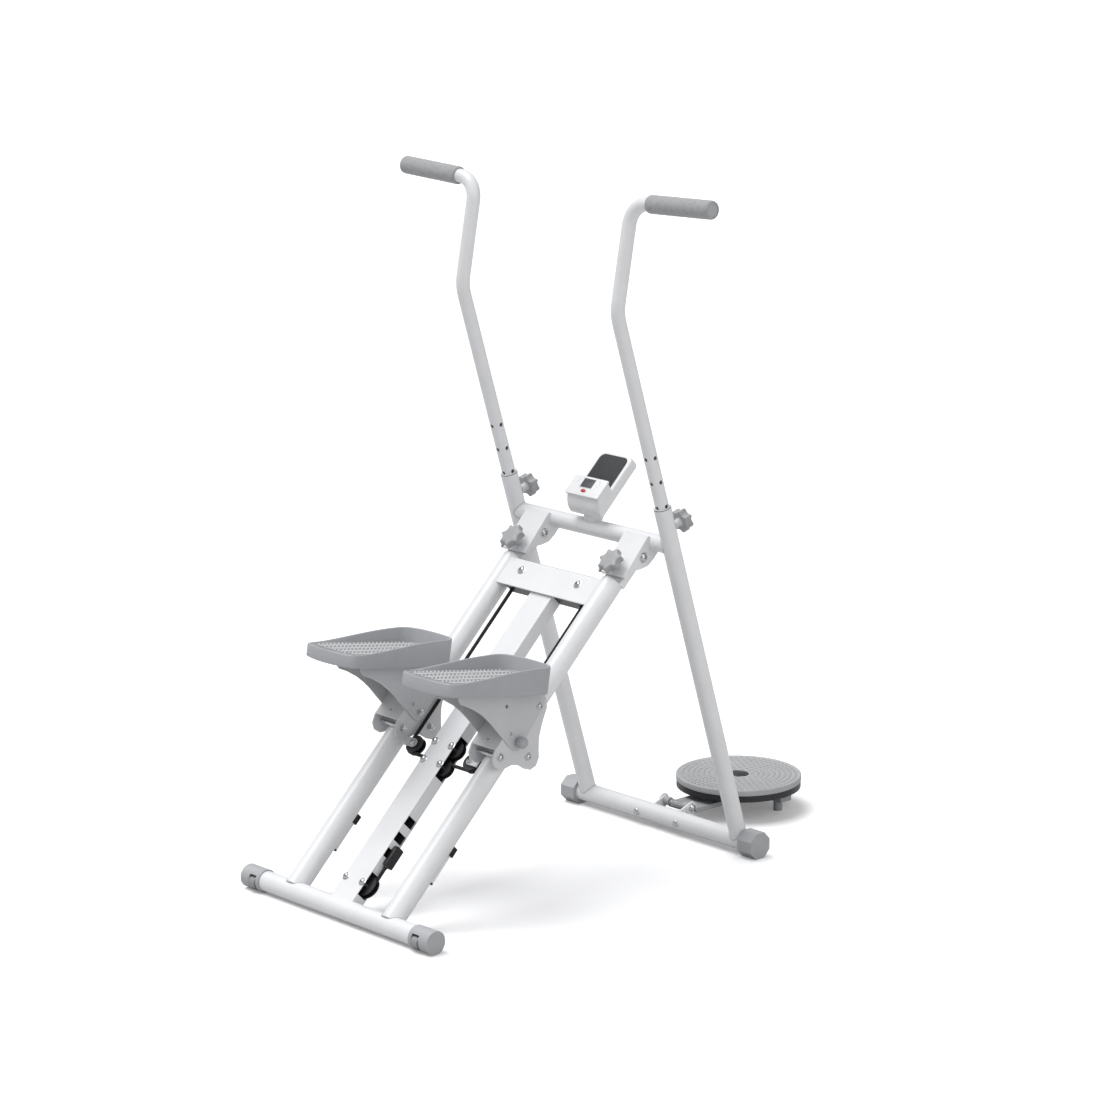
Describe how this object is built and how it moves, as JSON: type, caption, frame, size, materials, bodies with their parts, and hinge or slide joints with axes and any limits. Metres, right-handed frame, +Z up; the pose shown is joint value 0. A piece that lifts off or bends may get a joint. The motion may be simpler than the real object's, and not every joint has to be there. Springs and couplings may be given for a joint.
{
  "type": "stepper",
  "caption": "Folding incline rail stepper: two rope-linked pedal carriages slide on sloping rails under height-adjustable handles, with a small console and a fold-up twist disc",
  "frame": {"origin": "on the floor under the centre of the bounding box", "axes": "+X is the user's right, +Y is the way the user faces, from the front stabilizer towards the twist disc, +Z is up"},
  "size_m": [0.9414, 1.337, 1.4845],
  "materials": {
    "front_stabilizer": "gloss white powder coat",
    "front_caps": "satin grey moulded plastic",
    "left_rail": "gloss white powder coat",
    "right_rail": "gloss white powder coat",
    "centre_beam": "gloss white powder coat",
    "top_plate": "gloss white powder coat",
    "pulley_housing": "satin black powder coat",
    "pulley_bolts": "bright zinc and chrome plate",
    "stop_pads": "black rubber",
    "resistance_hook": "black moulded nylon",
    "left_rope": "black braided cord",
    "right_rope": "black braided cord",
    "left_floor_roller": "dark grey nylon",
    "right_floor_roller": "dark grey nylon",
    "left_top_pulley": "black moulded nylon",
    "right_top_pulley": "black moulded nylon",
    "left_upper_beam_pulley": "black moulded nylon",
    "right_upper_beam_pulley": "black moulded nylon",
    "left_lower_beam_pulley": "black moulded nylon",
    "right_lower_beam_pulley": "black moulded nylon",
    "foot_pulley": "black moulded nylon",
    "left_carriage": "light grey powder coat",
    "right_carriage": "light grey powder coat",
    "left_carriage_bolts": "bright zinc and chrome plate",
    "right_carriage_bolts": "bright zinc and chrome plate",
    "left_pedal_bracket": "light grey powder coat",
    "right_pedal_bracket": "light grey powder coat",
    "left_pedal": "satin grey moulded plastic",
    "right_pedal": "satin grey moulded plastic",
    "left_lock_pin": "grey rubber",
    "right_lock_pin": "grey rubber",
    "left_upper_roller": "grey nylon",
    "right_upper_roller": "grey nylon",
    "left_rear_roller": "grey nylon",
    "right_rear_roller": "grey nylon",
    "left_rope_pulley": "black moulded nylon",
    "right_rope_pulley": "black moulded nylon",
    "rear_base": "gloss white powder coat",
    "rear_caps": "satin grey moulded plastic",
    "left_upright": "gloss white powder coat",
    "right_upright": "gloss white powder coat",
    "crossbar": "gloss white powder coat",
    "left_fold_bracket": "gloss white powder coat",
    "right_fold_bracket": "gloss white powder coat",
    "frame_bolts": "bright zinc and chrome plate",
    "left_fold_knob": "satin grey moulded plastic",
    "right_fold_knob": "satin grey moulded plastic",
    "left_handle": "gloss white powder coat",
    "right_handle": "gloss white powder coat",
    "left_grip": "matt grey closed-cell foam",
    "right_grip": "matt grey closed-cell foam",
    "left_height_knob": "satin grey moulded plastic",
    "right_height_knob": "satin grey moulded plastic",
    "console": "gloss white moulded plastic",
    "phone_pad": "black ribbed rubber",
    "console_button": "gloss red plastic",
    "disc_bracket": "gloss white powder coat",
    "disc_arm": "grey powder coat",
    "disc_base": "black moulded plastic",
    "disc_plate": "satin grey moulded plastic"
  },
  "bodies": {
    "upright_frame": {"rear_base": "rear_base", "rear_caps": "rear_caps", "left_upright": "left_upright", "right_upright": "right_upright", "crossbar": "crossbar", "left_fold_bracket": "left_fold_bracket", "right_fold_bracket": "right_fold_bracket", "frame_bolts": "frame_bolts", "console": "console", "phone_pad": "phone_pad", "disc_bracket": "disc_bracket"},
    "rail_frame": {"front_stabilizer": "front_stabilizer", "front_caps": "front_caps", "left_rail": "left_rail", "right_rail": "right_rail", "centre_beam": "centre_beam", "top_plate": "top_plate", "pulley_housing": "pulley_housing", "pulley_bolts": "pulley_bolts", "stop_pads": "stop_pads", "resistance_hook": "resistance_hook", "left_rope": "left_rope", "right_rope": "right_rope"},
    "left_carriage": {"left_carriage": "left_carriage", "left_carriage_bolts": "left_carriage_bolts", "left_pedal_bracket": "left_pedal_bracket", "left_pedal": "left_pedal"},
    "left_lock_pin": {"left_lock_pin": "left_lock_pin"},
    "left_upper_roller": {"left_upper_roller": "left_upper_roller"},
    "left_rear_roller": {"left_rear_roller": "left_rear_roller"},
    "left_rope_pulley": {"left_rope_pulley": "left_rope_pulley"},
    "left_top_pulley": {"left_top_pulley": "left_top_pulley"},
    "left_upper_beam_pulley": {"left_upper_beam_pulley": "left_upper_beam_pulley"},
    "left_lower_beam_pulley": {"left_lower_beam_pulley": "left_lower_beam_pulley"},
    "left_floor_roller": {"left_floor_roller": "left_floor_roller"},
    "left_fold_knob": {"left_fold_knob": "left_fold_knob"},
    "left_handle": {"left_handle": "left_handle", "left_grip": "left_grip"},
    "left_height_knob": {"left_height_knob": "left_height_knob"},
    "right_carriage": {"right_carriage": "right_carriage", "right_carriage_bolts": "right_carriage_bolts", "right_pedal_bracket": "right_pedal_bracket", "right_pedal": "right_pedal"},
    "right_lock_pin": {"right_lock_pin": "right_lock_pin"},
    "right_upper_roller": {"right_upper_roller": "right_upper_roller"},
    "right_rear_roller": {"right_rear_roller": "right_rear_roller"},
    "right_rope_pulley": {"right_rope_pulley": "right_rope_pulley"},
    "right_top_pulley": {"right_top_pulley": "right_top_pulley"},
    "right_upper_beam_pulley": {"right_upper_beam_pulley": "right_upper_beam_pulley"},
    "right_lower_beam_pulley": {"right_lower_beam_pulley": "right_lower_beam_pulley"},
    "right_floor_roller": {"right_floor_roller": "right_floor_roller"},
    "right_fold_knob": {"right_fold_knob": "right_fold_knob"},
    "right_handle": {"right_handle": "right_handle", "right_grip": "right_grip"},
    "right_height_knob": {"right_height_knob": "right_height_knob"},
    "foot_pulley": {"foot_pulley": "foot_pulley"},
    "console_button": {"console_button": "console_button"},
    "disc_arm": {"disc_arm": "disc_arm", "disc_base": "disc_base"},
    "disc_plate": {"disc_plate": "disc_plate"}
  },
  "joints": [
    {"name": "frame_fold", "type": "hinge", "parent": "upright_frame", "child": "rail_frame", "pos_m": [0, 0.04037, 0.6913], "axis": [1, 0, 0], "range_deg": [0, 56]},
    {"name": "left_carriage_slide", "type": "slide", "parent": "rail_frame", "child": "left_carriage", "axis": [0, 0.712, 0.7022], "range_m": [-0.205, 0.205]},
    {"name": "left_lock_pull", "type": "slide", "parent": "left_carriage", "child": "left_lock_pin", "axis": [-1, 0, 0], "range_m": [0, 0.008], "stiffness_N_per_m": 300, "springref_m": -0.01},
    {"name": "left_upper_roller_spin", "type": "hinge", "parent": "left_carriage", "child": "left_upper_roller", "pos_m": [-0.154, -0.28722, 0.42107], "axis": [1, 0, 0], "continuous": true},
    {"name": "left_rear_roller_spin", "type": "hinge", "parent": "left_carriage", "child": "left_rear_roller", "pos_m": [-0.154, -0.29187, 0.32182], "axis": [1, 0, 0], "continuous": true},
    {"name": "left_rope_pulley_spin", "type": "hinge", "parent": "left_carriage", "child": "left_rope_pulley", "pos_m": [-0.091, -0.35412, 0.29807], "axis": [0, -0.7022, 0.712], "continuous": true},
    {"name": "left_top_pulley_spin", "type": "hinge", "parent": "rail_frame", "child": "left_top_pulley", "pos_m": [-0.088, -0.03585, 0.61193], "axis": [0, -0.7022, 0.712], "range_deg": [-700, 700]},
    {"name": "left_upper_beam_pulley_spin", "type": "hinge", "parent": "rail_frame", "child": "left_upper_beam_pulley", "pos_m": [-0.026, -0.34344, 0.3086], "axis": [0, -0.7022, 0.712], "continuous": true},
    {"name": "left_lower_beam_pulley_spin", "type": "hinge", "parent": "rail_frame", "child": "left_lower_beam_pulley", "pos_m": [-0.026, -0.3762, 0.2763], "axis": [0, -0.7022, 0.712], "continuous": true},
    {"name": "left_floor_roller_spin", "type": "hinge", "parent": "rail_frame", "child": "left_floor_roller", "pos_m": [-0.262, -0.6555, 0.021], "axis": [1, 0, 0], "continuous": true},
    {"name": "left_fold_knob_turn", "type": "hinge", "parent": "upright_frame", "child": "left_fold_knob", "pos_m": [-0.154, -0.00924, 0.67609], "axis": [0, -0.7022, 0.712], "continuous": true},
    {"name": "left_handle_slide", "type": "slide", "parent": "upright_frame", "child": "left_handle", "axis": [0, -0.2974, 0.9548], "range_m": [-0.16, 0.11]},
    {"name": "left_height_knob_turn", "type": "hinge", "parent": "upright_frame", "child": "left_height_knob", "pos_m": [-0.239, 0.09929, 0.76938], "axis": [0, 0.9548, 0.2974], "continuous": true},
    {"name": "right_carriage_slide", "type": "slide", "parent": "rail_frame", "child": "right_carriage", "axis": [0, 0.712, 0.7022], "range_m": [-0.205, 0.205]},
    {"name": "right_lock_pull", "type": "slide", "parent": "right_carriage", "child": "right_lock_pin", "axis": [1, 0, 0], "range_m": [0, 0.008], "stiffness_N_per_m": 300, "springref_m": -0.01},
    {"name": "right_upper_roller_spin", "type": "hinge", "parent": "right_carriage", "child": "right_upper_roller", "pos_m": [0.154, -0.28722, 0.42107], "axis": [1, 0, 0], "continuous": true},
    {"name": "right_rear_roller_spin", "type": "hinge", "parent": "right_carriage", "child": "right_rear_roller", "pos_m": [0.154, -0.29187, 0.32182], "axis": [1, 0, 0], "continuous": true},
    {"name": "right_rope_pulley_spin", "type": "hinge", "parent": "right_carriage", "child": "right_rope_pulley", "pos_m": [0.091, -0.35412, 0.29807], "axis": [0, -0.7022, 0.712], "continuous": true},
    {"name": "right_top_pulley_spin", "type": "hinge", "parent": "rail_frame", "child": "right_top_pulley", "pos_m": [0.088, -0.03585, 0.61193], "axis": [0, -0.7022, 0.712], "range_deg": [-700, 700]},
    {"name": "right_upper_beam_pulley_spin", "type": "hinge", "parent": "rail_frame", "child": "right_upper_beam_pulley", "pos_m": [0.026, -0.34344, 0.3086], "axis": [0, -0.7022, 0.712], "continuous": true},
    {"name": "right_lower_beam_pulley_spin", "type": "hinge", "parent": "rail_frame", "child": "right_lower_beam_pulley", "pos_m": [0.026, -0.3762, 0.2763], "axis": [0, -0.7022, 0.712], "continuous": true},
    {"name": "right_floor_roller_spin", "type": "hinge", "parent": "rail_frame", "child": "right_floor_roller", "pos_m": [0.262, -0.6555, 0.021], "axis": [1, 0, 0], "continuous": true},
    {"name": "right_fold_knob_turn", "type": "hinge", "parent": "upright_frame", "child": "right_fold_knob", "pos_m": [0.154, -0.00924, 0.67609], "axis": [0, -0.7022, 0.712], "continuous": true},
    {"name": "right_handle_slide", "type": "slide", "parent": "upright_frame", "child": "right_handle", "axis": [0, -0.2974, 0.9548], "range_m": [-0.16, 0.11]},
    {"name": "right_height_knob_turn", "type": "hinge", "parent": "upright_frame", "child": "right_height_knob", "pos_m": [0.239, 0.09929, 0.76938], "axis": [0, 0.9548, 0.2974], "continuous": true},
    {"name": "foot_pulley_spin", "type": "hinge", "parent": "rail_frame", "child": "foot_pulley", "pos_m": [0.026, -0.58909, 0.06636], "axis": [0, -0.7022, 0.712], "continuous": true},
    {"name": "console_button_press", "type": "slide", "parent": "upright_frame", "child": "console_button", "axis": [0, 0.6947, -0.7193], "range_m": [0, 0.0012], "stiffness_N_per_m": 400, "springref_m": -0.0005},
    {"name": "disc_arm_fold", "type": "hinge", "parent": "upright_frame", "child": "disc_arm", "pos_m": [0, 0.334, 0.047], "axis": [1, 0, 0], "range_deg": [0, 95]},
    {"name": "disc_spin", "type": "hinge", "parent": "disc_arm", "child": "disc_plate", "pos_m": [0, 0.527, 0.07], "axis": [0, 0, 1], "continuous": true}
  ],
  "couplings": [
    {"joint": "right_carriage_slide", "follows": "left_carriage_slide", "ratio": -1},
    {"joint": "left_top_pulley_spin", "follows": "left_carriage_slide", "rad_per_m": -46.729},
    {"joint": "right_top_pulley_spin", "follows": "left_carriage_slide", "rad_per_m": -46.729}
  ]
}
